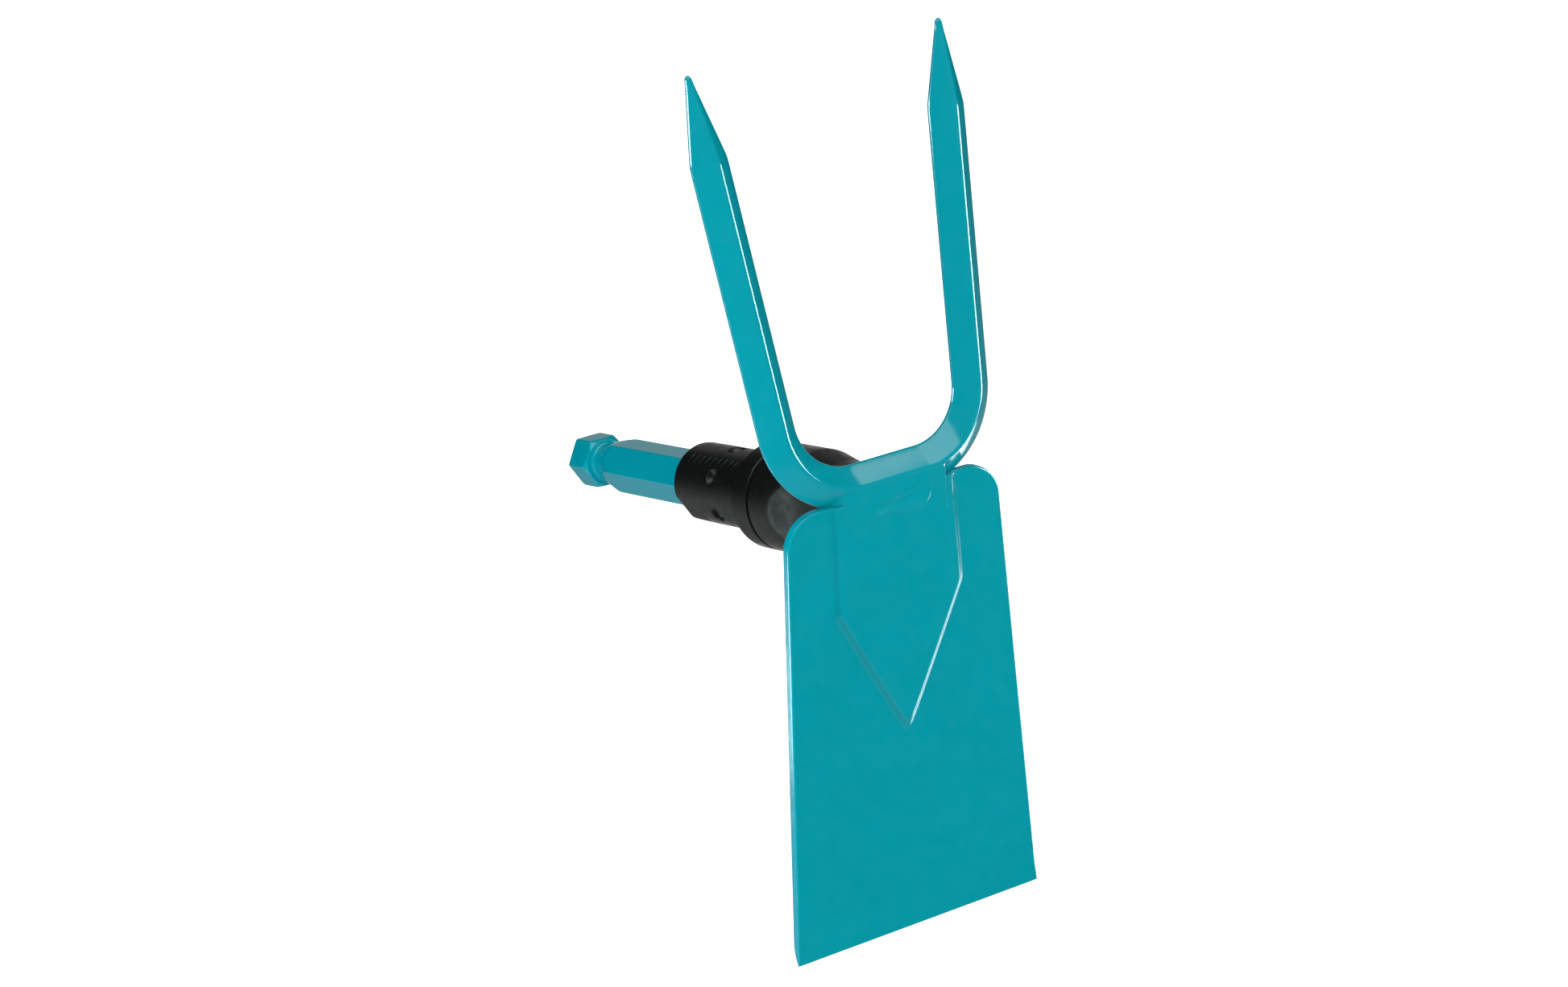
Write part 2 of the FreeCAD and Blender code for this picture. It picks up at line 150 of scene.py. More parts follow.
# fork
BAR_HALF_WIDTH = 6.2
BAR_HALF_DEPTH = 5.6
BAR_ROUND = 1.05
BAR_ROUND_MOST = 3.4
BAR_CROWN = 0.09
FORK_MIDDLE = 57.3
FORK_BASE = 11.2
FORK_BEND = 20.6
FORK_CORNER_HALF = 29.3
PRONG_SPLAY = np.radians(4.86)
FORK_LEAN = np.radians(0.93)
BEND_TURN = np.pi / 2 - PRONG_SPLAY
BEND_START = FORK_CORNER_HALF - FORK_BEND * np.tan(BEND_TURN / 2)
POINT_START = 103.0
POINT_TIP = 125.6
POINT_END_HALF = 1.15
POINT_SOFT = 0.9


# ---------------------------------------------------------------- mesh helpers

def soft_min(a, b, soft):
    """The smaller of two surfaces, with their meeting edge rounded over about `soft`."""
    return 0.5 * (a + b - np.sqrt((a - b) ** 2 + soft ** 2))


def soft_max(a, b, soft):
    """The larger of two surfaces, with their meeting edge filled over about `soft`."""
    return 0.5 * (a + b + np.sqrt((a - b) ** 2 + soft ** 2))


def ease(value, start, end):
    """0 before start, 1 after end, smooth between."""
    t = np.clip((value - start) / (end - start), 0.0, 1.0)
    return t * t * (3 - 2 * t)


def grid_faces(rows, columns, first=0, wrap=False):
    """Quads between neighbouring rows of equally many vertices."""
    last = columns if wrap else columns - 1
    faces = []
    for i in range(rows - 1):
        a = first + i * columns
        b = a + columns
        for j in range(last):
            k = (j + 1) % columns
            faces.append((a + j, a + k, b + k, b + j))
    return faces


def border_loop(rows, columns):
    """(row, column) of the vertices once round the border of a grid."""
    return ([(0, j) for j in range(columns - 1)] + [(i, columns - 1) for i in range(rows - 1)]
            + [(rows - 1, j) for j in range(columns - 1, 0, -1)]
            + [(i, 0) for i in range(rows - 1, 0, -1)])


def flipped(faces):
    """The same faces seen from their other side."""
    return [tuple(reversed(face)) for face in faces]


def loft(rings, closed=False):
    """Vertices and faces of a solid through rings; its ends are capped unless it closes on itself."""
    rings = np.asarray(rings, float)
    count, size = rings.shape[:2]
    points = rings.reshape(-1, 3)
    faces = grid_faces(count, size, wrap=True)
    last = (count - 1) * size
    if closed:
        for j in range(size):
            k = (j + 1) % size
            faces.append((last + j, last + k, k, j))
        return points, faces
    centre_a = len(points)
    points = np.vstack([points, rings[0].mean(0), rings[-1].mean(0)])
    for j in range(size):
        k = (j + 1) % size
        faces.append((centre_a, k, j))
        faces.append((centre_a + 1, last + j, last + k))
    return points, faces


def corner_arc(previous, point, following, radius, steps):
    """Points of the tangent arc that rounds a corner, or the corner itself where it is too flat."""
    back = previous - point
    ahead = following - point
    back /= np.linalg.norm(back)
    ahead /= np.linalg.norm(ahead)
    half = 0.5 * np.arccos(np.clip(back @ ahead, -1, 1))
    if radius <= 0 or half > np.pi / 2 - 0.01:
        return [point]
    centre = point + (back + ahead) / np.linalg.norm(back + ahead) * (radius / np.sin(half))
    start = point + back * radius / np.tan(half) - centre
    end = point + ahead * radius / np.tan(half) - centre
    turn = np.arctan2(start[0] * end[1] - start[1] * end[0], start @ end)
    arc = []
    for share in np.linspace(0, 1, steps + 1):
        c, s = np.cos(turn * share), np.sin(turn * share)
        arc.append(centre + np.array([c * start[0] - s * start[1], s * start[0] + c * start[1]]))
    return arc


def rounded_path(corners, step=0.6, arc_steps=5):
    """Points along a polyline of (y, r, radius) corners, each rounded by a tangent arc."""
    corners = [np.array(c, float) for c in corners]
    path = [corners[0][:2]]
    for previous, corner, following in zip(corners, corners[1:], corners[2:]):
        path += corner_arc(previous[:2], corner[:2], following[:2], corner[2], arc_steps)
    path.append(corners[-1][:2])
    dense = [path[0]]
    for a, b in zip(path, path[1:]):
        parts = max(1, int(np.ceil(np.linalg.norm(b - a) / step)))
        dense += [a + (b - a) * k / parts for k in range(1, parts + 1)]
    return np.array(dense)


def merge_faces(*parts):
    """Several (points, faces) sets as one."""
    points, faces, start = [], [], 0
    for part_points, part_faces in parts:
        points.append(part_points)
        faces += [tuple(start + i for i in face) for face in part_faces]
        start += len(part_points)
    return np.vstack(points), faces


def add_piece(name, shape, material, nodes=(), normals=None):
    """A smooth-shaded piece, its points in millimetres, that rides on the one rigid body.

    It stands for the CAD nodes named. Its normals are even over the faces unless they are given."""
    points, faces = shape
    mesh = bpy.data.meshes.new(name)
    mesh.from_pydata((np.asarray(points) * MM).tolist(), [], faces)
    mesh.validate()
    mesh.polygons.foreach_set("use_smooth", [True] * len(mesh.polygons))
    mesh.materials.append(material)
    piece = bpy.data.objects.new(name, mesh)
    bpy.context.scene.collection.objects.link(piece)
    if normals is None:
        weighted = piece.modifiers.new("even_normals", "WEIGHTED_NORMAL")
        weighted.weight = 100
    else:
        mesh.normals_split_custom_set_from_vertices(np.asarray(normals).tolist())
    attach(piece, "root")
    if nodes:
        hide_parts(*nodes)
    return piece


# ---------------------------------------------------------------- shapes turned about the shank's axis

def hex_corner(apothem, edge):
    """A rounded corner's centre, from the axis, and the angle from the corner to its arc's end."""
    centre = (apothem - edge) / np.cos(np.pi / 6)
    return centre, np.arctan2(edge / 2, centre + edge * np.cos(np.pi / 6))


def hex_angles():
    """Angles round the shank, closer together at the six corners."""
    _, tangent = hex_corner(SHANK_APOTHEM, SHANK_EDGE)
    near = np.degrees(tangent) * np.array([0, 0.25, 0.5, 0.75, 1.0])
    far = np.array([3.2, 5.5, 8.5, 12, 16, 20, 25, 30])
    half = np.concatenate([near, far])
    sextant = np.concatenate([-half[::-1][1:-1], half])
    return np.radians(np.sort(np.concatenate([60 * k + sextant for k in range(6)])))


def hex_radius(angles, apothem, edge):
    """Distance from the axis to a hexagon whose corners, on +X and every 60 degrees, are rounded."""
    from_corner = np.abs((angles + np.pi / 6) % (np.pi / 3) - np.pi / 6)
    centre, tangent = hex_corner(apothem, edge)
    flat = apothem / np.cos(np.pi / 6 - from_corner)
    inside = np.maximum(edge ** 2 - (centre * np.sin(from_corner)) ** 2, 0)
    arc = centre * np.cos(from_corner) + np.sqrt(inside)
    return np.where(from_corner < tangent, arc, flat)


def ring(angles, radii, y):
    """Points round the shank's axis, angle 0 on +X and turning towards +Z."""
    radii = np.broadcast_to(radii, angles.shape)
    return np.stack([radii * np.cos(angles), np.full_like(angles, y), radii * np.sin(angles)], 1)


def make_shank(enamel):
    """Hexagonal bar cut back by a turned profile: the neck, the knob's chamfer and its end."""
    angles = hex_angles()
    hexagon = hex_radius(angles, SHANK_APOTHEM, SHANK_EDGE)
    front, back = SHANK_LOW[1] + SHANK_END_PLAY, SHANK_HIGH[1]
    profile = rounded_path([
        (front, CLEAR_RADIUS, 0),
        (NECK_TAPER_START, CLEAR_RADIUS, 0),
        (NECK_START, NECK_RADIUS, NECK_FILLET),
        (KNOB_FACE, NECK_RADIUS, KNOB_FILLET),
        (KNOB_FACE, KNOB_FACE_RADIUS, 0.25),
        (KNOB_FULL, CLEAR_RADIUS, 0),
        (back - 1.6, CLEAR_RADIUS, 0),
        (back - KNOB_RIM, KNOB_CORNER + KNOB_RIM, 0),
    ], step=0.35)
    along = profile[:, 0]
    fine = (along > NECK_TAPER_START - 4) | (along < front + 1)
    keep = fine | (np.arange(len(along)) % 12 == 0)  # the plain bar needs few rings
    rings = [ring(angles, soft_min(hexagon, r, PAINT_BLEND), y) for y, r in profile[keep]]
    for turn in np.radians([30, 60, 90]):
        inset = KNOB_RIM * (1 - np.cos(turn))
        radii = soft_min(hexagon - inset, KNOB_CORNER + KNOB_RIM - inset, PAINT_BLEND)
        rings.append(ring(angles, radii, back - KNOB_RIM + KNOB_RIM * np.sin(turn)))
    end_centre = 5.0
    rings.append(ring(angles, end_centre, back))
    add_piece("shank_bar", loft(rings), enamel, ["hex_shank"])


def recess_patch(surface, row, column, half):
    """A round blind recess in a grid of (rows, columns) surface points about one vertex.

    The square of cells from -half to half about (row, column) gives way to rings that turn the
    square into a circle and then go down into the recess."""
    rows, columns = surface.shape[:2]
    centre = surface[row, column]
    outward = np.array([centre[0], 0, centre[2]])
    outward /= np.linalg.norm(outward)
    sideways = np.cross(outward, [0, 1, 0])
    steps = range(-half, half)
    loop = ([(-half, k) for k in steps] + [(k, half) for k in steps]
            + [(half, -k) for k in steps] + [(-k, -half) for k in steps])
    border = [((row + i), (column + j) % columns) for i, j in loop]
    bearing = np.array([np.arctan2(i, j) for i, j in loop])
    profile = [(2.95, 0.0), (2.8, 0.01), (2.65, 0.04), (2.5, 0.1)]  # (radius, depth) of a soft rim
    rim_depth, bottom_depth = 0.15, RECESS_DEPTH - 0.1
    for share in (0.98, 0.94, 0.88, 0.8, 0.7, 0.58, 0.45, 0.3, 0.15):
        deeper = (bottom_depth - rim_depth) * (1 - share ** 2.2) ** 0.8
        profile.append((RECESS_RADIUS * share, rim_depth + deeper))
    radius_here = np.hypot(centre[0], centre[2])
    levels = []
    for r, depth in profile:
        side = r * np.cos(bearing)
        height = radius_here * (np.sqrt(1 - (side / radius_here) ** 2) - 1)
        level = centre + np.outer(side, sideways) + np.outer(height - depth, outward)
        level[:, 1] += r * np.sin(bearing)
        levels.append(level)
    return border, np.array(levels), centre - outward * bottom_depth


def grid_with_recesses(surface, spots, half):
    """Closed tube of rings with recesses set into it at the (row, column) spots."""
    rows, columns = surface.shape[:2]
    index = np.arange(rows * columns).reshape(rows, columns)
    points = [surface.reshape(-1, 3)]
    removed = set()
    for row, column in spots:
        for i in range(-half, half):
            removed |= {(row + i, (column + j) % columns) for j in range(-half, half)}
    faces = []
    for i in range(rows):
        for j in range(columns):
            if (i, j) not in removed:
                i2, j2 = (i + 1) % rows, (j + 1) % columns
                faces.append((index[i, j], index[i, j2], index[i2, j2], index[i2, j]))
    start = rows * columns
    for row, column in spots:
        border, levels, bottom = recess_patch(surface, row, column, half)
        size = len(border)
        previous = [index[b] for b in border]
        for level in levels:
            current = list(range(start, start + size))
            points.append(level)
            start += size
            for k in range(size):
                n = (k + 1) % size
                faces.append((previous[k], previous[n], current[n], current[k]))
            previous = current
        points.append(bottom[None])
        for k in range(size):
            faces.append((previous[k], previous[(k + 1) % size], start))
        start += 1
    return np.vstack(points), [tuple(int(i) for i in face) for face in faces]


def make_sleeve(plastic):
    """Flanged tube with two flat facets at its rear and six recesses round its middle."""
    step = 1.5
    angles = np.radians(np.arange(0, 360, step))
    bore = hex_radius(angles, SHANK_APOTHEM + BORE_PLAY, SHANK_EDGE)
    rear = SLEEVE_HIGH[1]
    half = 11  # cells from a recess's centre to the edge of its patch
    cell = SLEEVE_RADIUS * np.radians(step)
    recess_rows = RECESS_AT + cell * np.arange(-half, half + 1)
    outside = rounded_path([
        (FLANGE_FACE, BORE_FACE_RADIUS, 0),
        (FLANGE_FACE, FLANGE_RADIUS, 0.6),
        (0, FLANGE_RADIUS, 0.8),
        (0, SLEEVE_RADIUS, 0.5),
        (recess_rows[0], SLEEVE_RADIUS, 0),
    ])
    after = rounded_path([
        (recess_rows[-1], SLEEVE_RADIUS, 0),
        (FACET_START - 0.1, SLEEVE_RADIUS, 0),
        (FACET_START + 0.25, SLEEVE_RADIUS, 0),
        (rear, SLEEVE_RADIUS - SLEEVE_TAPER, SLEEVE_RIM),
        (rear, 8.6, 0),
    ], step=1.2)
    profile = np.vstack([outside[:-1],
                         np.column_stack([recess_rows, np.full(len(recess_rows), SLEEVE_RADIUS)]),
                         after[1:]])
    no_facet = 99.0
    facets = np.full_like(angles, no_facet)
    for facing in FACET_ANGLES:
        across = np.cos(angles - np.radians(facing))
        facets = np.where(across > 0.5, FACET_DISTANCE / np.maximum(across, 0.5), facets)
    rings = []
    for y, r in profile:
        radii = np.full_like(angles, r)
        if y > FACET_START:
            radii = soft_min(radii, facets - (SLEEVE_RADIUS - r) * (y > rear - SLEEVE_RIM), 0.12)
        rings.append(ring(angles, radii, y))
    rings.append(ring(angles, bore + 0.25, rear))
    rings.append(ring(angles, bore, rear - 0.3))
    rings.append(ring(angles, bore, FLANGE_FACE))
    middle = len(outside) - 1 + half
    spots = [(middle, int(round((30 + 60 * k) / step))) for k in range(6)]
    add_piece("sleeve_shell", grid_with_recesses(np.array(rings), spots, half),
              plastic, ["coupling_sleeve"])


def make_sleeve_marks(plastic):
    """A generic row of raised slanted bars where the moulding carries its marks."""
    first, pitch, count = 8.4, 2.9, 9
    half_width, half_length, slant = 0.42, 1.55, 0.35
    facing = np.radians(126.5)
    rounded_bar = ((0.75, -0.3), (1.0, 0.0), (0.92, 0.16), (0.7, 0.27), (0.35, 0.32))
    bars = []
    around = np.linspace(0, 2 * np.pi, 20, endpoint=False)
    for y in first + pitch * np.arange(count):
        levels = []
        for share, height in rounded_bar:
            across = half_width * share * np.cos(around)
            length = half_length * share * np.sin(around)
            angle = facing + length / SLEEVE_RADIUS
            place = y + across + slant * length
            r = SLEEVE_RADIUS + height
            levels.append(np.stack([r * np.cos(angle), place, r * np.sin(angle)], 1))
        bars.append(loft(levels))
    add_piece("sleeve_marks", merge_faces(*bars), plastic)


def make_hub(plastic):
    """Tapering cover with a groove behind it, scooped flat on both sides towards the head."""
    angles = np.radians(np.arange(0, 360, 1.5))
    bore = hex_radius(angles, SHANK_APOTHEM + BORE_PLAY, SHANK_EDGE)
    profile = rounded_path([
        (HUB_SEAT, BORE_FACE_RADIUS, 0),
        (HUB_SEAT, REGISTER_RADIUS, 0),
        (HUB_FACE, REGISTER_RADIUS, 0),
        (HUB_FACE, HUB_RADIUS, 0.6),
        (HUB_TAPER_START, HUB_RADIUS, 2.5),
        (HUB_TAPER_END, HUB_NECK_RADIUS, 2.5),
        (HUB_FRONT, HUB_FRONT_RADIUS, 0.8),
        (HUB_FRONT, CLEAR_RADIUS, 0),
    ], step=0.5)
    inward = np.abs(np.cos(angles))
    rings = []
    for y, r in profile:
        sweep = np.sqrt(max(WAIST_SWEEP ** 2 - (y - WAIST_START) ** 2, 0))
        waist = WAIST_HALF + WAIST_SWEEP - (sweep if y > WAIST_START else WAIST_SWEEP)
        side = waist / np.maximum(inward, 0.02)
        side = np.where(r < HUB_FRONT_RADIUS, side * r / HUB_FRONT_RADIUS, side)
        rings.append(ring(angles, soft_min(np.full_like(angles, r), side, 0.9), y))
    rings.append(ring(angles, bore + 0.2, HUB_FRONT))
    rings.append(ring(angles, bore, HUB_FRONT + 0.3))
    rings.append(ring(angles, bore, HUB_SEAT))
    rings = np.array(rings)[::-1]
    add_piece("hub_shell", loft(rings, closed=True), plastic, ["hub_cover"])


# ---------------------------------------------------------------- blade

def shield_height(x, s):
    """How far the stamped shield stands out of the plate, at x across it and s up it."""
    x = x + SHIELD_OFFSET
    side = np.sqrt(x ** 2 + SHIELD_TIP_SOFT ** 2)
    straight = np.array([BLADE_RISE + SHIELD_KINK_DROP, SHIELD_KINK_HALF - SHIELD_TOP_HALF])
    straight /= np.linalg.norm(straight)
    slanted = np.array([SHIELD_TIP_DROP - SHIELD_KINK_DROP, -SHIELD_KINK_HALF])
    slanted /= np.linalg.norm(slanted)
    along_side = (side - SHIELD_TOP_HALF) * straight[0] + (s - BLADE_RISE) * straight[1]
    along_vee = side * slanted[0] + (s + SHIELD_TIP_DROP) * slanted[1]
    inside = -SHIELD_STEEPNESS * soft_max(along_side, along_vee, 0.4)
    corner = ease(s, 2.0, BLADE_RISE) * ease(x - 0.3 * (BLADE_RISE - s), 16.4, 17.8)
    full = SHIELD_RAISE + SHIELD_TOP_RAISE * corner
    return np.maximum(soft_min(soft_max(inside, 0.0, 0.8), full, 0.7), 0.0)


def blade_front(x, s):
    """Height of the front face: plate and shield, sunk a little where weld metal covers it."""
    covered = ease(s, 0.6, 2.4) * (1 - ease(np.abs(x), 13.0, 15.5))
    return shield_height(x, s) - WELD_SINK * covered


def blade_back(x, s):
    """Height of the back face: the plate, the hollow behind the shield and the cutting bevel."""
    low = np.clip((-BLADE_DROP + BEVEL_HEIGHT - s) / BEVEL_HEIGHT, 0, 1)
    bevel = BEVEL_DEPTH * (0.45 * low + 0.55 * low ** 2.4)
    return shield_height(x, s) - BLADE_THICKNESS + bevel


def slope_normals(height, x, s, facing):
    """Unit normals (across, up, out) of a height field over the plate."""
    step = 0.05
    across = (height(x + step, s) - height(x - step, s)) / (2 * step)
    up = (height(x, s + step) - height(x, s - step)) / (2 * step)
    normals = np.stack([-across, -up, np.ones_like(across)], -1) * facing
    return normals / np.linalg.norm(normals, axis=-1, keepdims=True)


def plate_to_row(points):
    """(across, up, out) in the blade's own plane to the row frame."""
    x, s, out = np.moveaxis(np.asarray(points, float), -1, 0)
    c, n = np.cos(BLADE_LEAN), np.sin(BLADE_LEAN)
    return np.stack([x, -out * c - s * n, -out * n + s * c], -1)


def make_blade(enamel):
    """Plate with the shield pressed out of it: two height fields joined by a rounded edge."""
    tilt = np.arctan2(BLADE_BOTTOM_HALF - BLADE_TOP_HALF, BLADE_RISE + BLADE_DROP)
    side_out = np.array([np.cos(tilt), np.sin(tilt)])
    arc_s = BLADE_RISE - BLADE_SHOULDER
    arc_x = BLADE_TOP_HALF - BLADE_SHOULDER * (1 - side_out[1]) / side_out[0]
    bottom = -BLADE_DROP

    def edge_radius(s):
        above = np.clip((s - bottom - 0.3) / BEVEL_HEIGHT, 0, 1)
        return CUTTING_EDGE + (BLADE_EDGE - CUTTING_EDGE) * above

    def half_width(s):
        inset = edge_radius(s)
        radius = BLADE_SHOULDER - inset
        line = (BLADE_TOP_HALF * side_out[0] + (BLADE_RISE - s) * side_out[1] - inset) / side_out[0]
        above = s - arc_s
        arc = arc_x + np.sqrt(np.maximum(radius ** 2 - above ** 2, 0))
        return np.where(above > radius * side_out[1], arc, line)

    radius = BLADE_SHOULDER - BLADE_EDGE
    turns = np.linspace(np.pi / 2, tilt, 31)
    fine, coarse, fine_end = 0.45, 2.0, -65.0  # fine rows run past the shield's tip
    rows = np.concatenate([
        arc_s + radius * np.sin(turns),
        np.arange(arc_s + radius * np.sin(tilt) - fine, fine_end, -fine),
        np.arange(fine_end - coarse, bottom + BEVEL_HEIGHT, -coarse),
        np.linspace(bottom + BEVEL_HEIGHT, bottom + CUTTING_EDGE, 12),
    ])
    inner = 23.2  # fine columns cover the shield
    middle = np.linspace(-inner, inner, 117)
    outer = np.linspace(0, 1, 9)[1:]
    width = half_width(rows)
    x = np.array([np.concatenate([-(inner + (w - inner) * outer)[::-1], middle,
                                  inner + (w - inner) * outer]) for w in width])
    s = np.broadcast_to(rows[:, None], x.shape)
    front = np.stack([x, s, blade_front(x, s)], -1)
    back = np.stack([x, s, blade_back(x, s)], -1)
    count, columns = x.shape
    front_normals = slope_normals(blade_front, x, s, 1)
    back_normals = slope_normals(blade_back, x, s, -1)

    # which way each vertex of the border faces within the plate
    ii, jj = np.array(border_loop(count, columns)).T
    size = len(ii)
    lx, ls = x[ii, jj], s[ii, jj]
    out = np.zeros((size, 2))
    on_side = (jj == 0) | (jj == columns - 1)
    sign = np.sign(lx)
    out[on_side] = np.column_stack([sign[on_side] * side_out[0], np.full(on_side.sum(), side_out[1])])
    in_arc = on_side & (ls > arc_s + radius * side_out[1])
    radial = np.column_stack([(np.abs(lx) - arc_x) * sign, ls - arc_s])
    out[in_arc] = radial[in_arc] / np.linalg.norm(radial[in_arc], axis=1, keepdims=True)
    out[(ii == 0) & ~on_side] = (0, 1)
    out[ii == count - 1] = (0, -1)
    corner = (ii == count - 1) & on_side
    out[corner] = np.column_stack([sign[corner] * 0.8, np.full(corner.sum(), -0.8)])

    radii = edge_radius(ls)
    turns = np.radians([22.5, 45, 67.5, 90])
    flat_front, flat_back = front[ii, jj], back[ii, jj]
    rings, ring_normals = [], []
    for face, facing, sequence in ((flat_front, 1, turns), (flat_back, -1, turns[::-1])):
        for turn in sequence:
            move = (radii * np.sin(turn))[:, None] * out
            level = face.copy()
            level[:, :2] += move
            level[:, 2] -= facing * radii * (1 - np.cos(turn))
            rings.append(level)
            unit = out / np.linalg.norm(out, axis=1, keepdims=True)
            ring_normals.append(np.column_stack([unit * np.sin(turn),
                                                 np.full(len(unit), facing * np.cos(turn))]))
    points = np.vstack([front.reshape(-1, 3), back.reshape(-1, 3), np.vstack(rings)])
    normals = np.vstack([front_normals.reshape(-1, 3), back_normals.reshape(-1, 3),
                         np.vstack(ring_normals)])
    total = count * columns
    faces = flipped(grid_faces(count, columns)) + grid_faces(count, columns, first=total)
    index = ii * columns + jj
    levels = [index] + [2 * total + size * k + np.arange(size) for k in range(len(rings))]
    levels.append(total + index)
    for a, b in zip(levels, levels[1:]):
        for k in range(size):
            n = (k + 1) % size
            faces.append((int(b[n]), int(b[k]), int(a[k]), int(a[n])))
    row_points = plate_to_row(points)
    row_points[:, 1] -= BLADE_FRONT
    return add_piece("blade_plate", (row_points, faces), enamel, ["hoe_blade"],
                     plate_to_row(normals))


# ---------------------------------------------------------------- fork

def bar_section(edge):
    """Diamond with rounded corners and slightly crowned sides, as (across, deep) points."""
    corners = np.array([(BAR_HALF_WIDTH, 0), (0, BAR_HALF_DEPTH),
                        (-BAR_HALF_WIDTH, 0), (0, -BAR_HALF_DEPTH)])
    arcs = [corner_arc(corners[i - 1], corners[i], corners[(i + 1) % 4], edge, 7) for i in range(4)]
    outline = []
    for i in range(4):
        begin, finish = arcs[i][-1], arcs[(i + 1) % 4][0]
        ahead = (finish - begin) / np.linalg.norm(finish - begin)
        normal = np.array([ahead[1], -ahead[0]])
        outline += arcs[i]
        for share in (0.2, 0.4, 0.6, 0.8):
            crown = 4 * BAR_CROWN * share * (1 - share)
            outline.append(begin + (finish - begin) * share + normal * crown)
    return np.array(outline)


def make_fork(enamel):
    """One bar bent to a U: sections set along its right half, from the middle to the point."""
    prong_start = BEND_START + FORK_BEND * BEND_TURN
    prong_low = FORK_BASE + FORK_BEND * (1 - np.cos(BEND_TURN))
    along = np.array([np.sin(PRONG_SPLAY), np.cos(PRONG_SPLAY)])
    point_at = prong_start + (POINT_START - prong_low) / along[1]
    whole = prong_start + (POINT_TIP - prong_low) / along[1]
    end_round = POINT_END_HALF * 1.05

    def place(length):
        """Centre of the bar and how far it has turned, at a length from the middle."""
        if length <= BEND_START:
            return np.array([length, FORK_BASE]), 0.0
        turn = min((length - BEND_START) / FORK_BEND, BEND_TURN)
        centre = np.array([BEND_START + FORK_BEND * np.sin(turn),
                           FORK_BASE + FORK_BEND * (1 - np.cos(turn))])
        return centre + along * max(length - prong_start, 0.0), turn

    def share_at(length):
        """Size of the section: full, then drawn out to the point and rounded at its end."""
        end_share = POINT_END_HALF / BAR_HALF_WIDTH
        rate = (1 - end_share) / (whole - point_at)
        size = 1 - rate * soft_max(length - point_at, 0.0, POINT_SOFT)
        left = whole - length
        least = 0.02
        if left < end_round:
            size *= np.sqrt(max(1 - (1 - left / end_round) ** 2, least ** 2))
        return size

    lengths = np.concatenate([
        np.linspace(0, BEND_START, 6)[:-1],
        np.linspace(BEND_START, prong_start, 56)[:-1],
        np.linspace(prong_start, point_at - 5, 24)[:-1],
        np.linspace(point_at - 5, point_at + 5, 26)[:-1],
        np.linspace(point_at + 5, whole - end_round, 22)[:-1],
        whole - end_round * (1 - np.sin(np.radians([0, 15, 30, 45, 58, 70, 80, 87]))),
    ])
    rings = []
    for length in lengths:
        (cx, cz), turn = place(length)
        across = np.array([np.sin(turn), -np.cos(turn)])
        size = share_at(length)
        section = bar_section(min(BAR_ROUND / size, BAR_ROUND_MOST))
        wide, deep = section[:, 0] * size, section[:, 1] * size
        rings.append(np.stack([cx + across[0] * wide, deep, cz + across[1] * wide], 1))
    right = np.array(rings)
    left = right * [-1, 1, 1]
    x, y, z = np.moveaxis(np.concatenate([left[::-1], right[1:]]), -1, 0)
    c, n = np.cos(FORK_LEAN), np.sin(FORK_LEAN)
    leaned = np.stack([x, y * c + z * n - FORK_MIDDLE, z * c - y * n], -1)
    return add_piece("fork_bar", loft(leaned), enamel, ["two_prong_fork"])


# ---------------------------------------------------------------- weld beads

def fork_front_height(x, s):
    """Height over the blade's front plane of the fork's front: its lower face up to the ridge."""
    past = np.clip(np.abs(x) - BEND_START, 0, FORK_BEND * 0.95)
    base = FORK_BASE + FORK_BEND - np.sqrt(FORK_BEND ** 2 - past ** 2)
    deep = BLADE_FRONT - FORK_MIDDLE + FORK_BASE * np.sin(FORK_LEAN)
    c, n = np.cos(BLADE_LEAN), np.sin(BLADE_LEAN)
    faces = []
    for side in (-1, 1):
        # the bar's face is where side * (up - base) / half width + depth / half depth = 1
        out_part = c / BAR_HALF_DEPTH - side * n / BAR_HALF_WIDTH
        up_part = n / BAR_HALF_DEPTH + side * c / BAR_HALF_WIDTH
        rest = 1 + side * base / BAR_HALF_WIDTH - deep / BAR_HALF_DEPTH
        faces.append((rest - up_part * s) / out_part)
    return soft_min(faces[0], faces[1], 0.75)


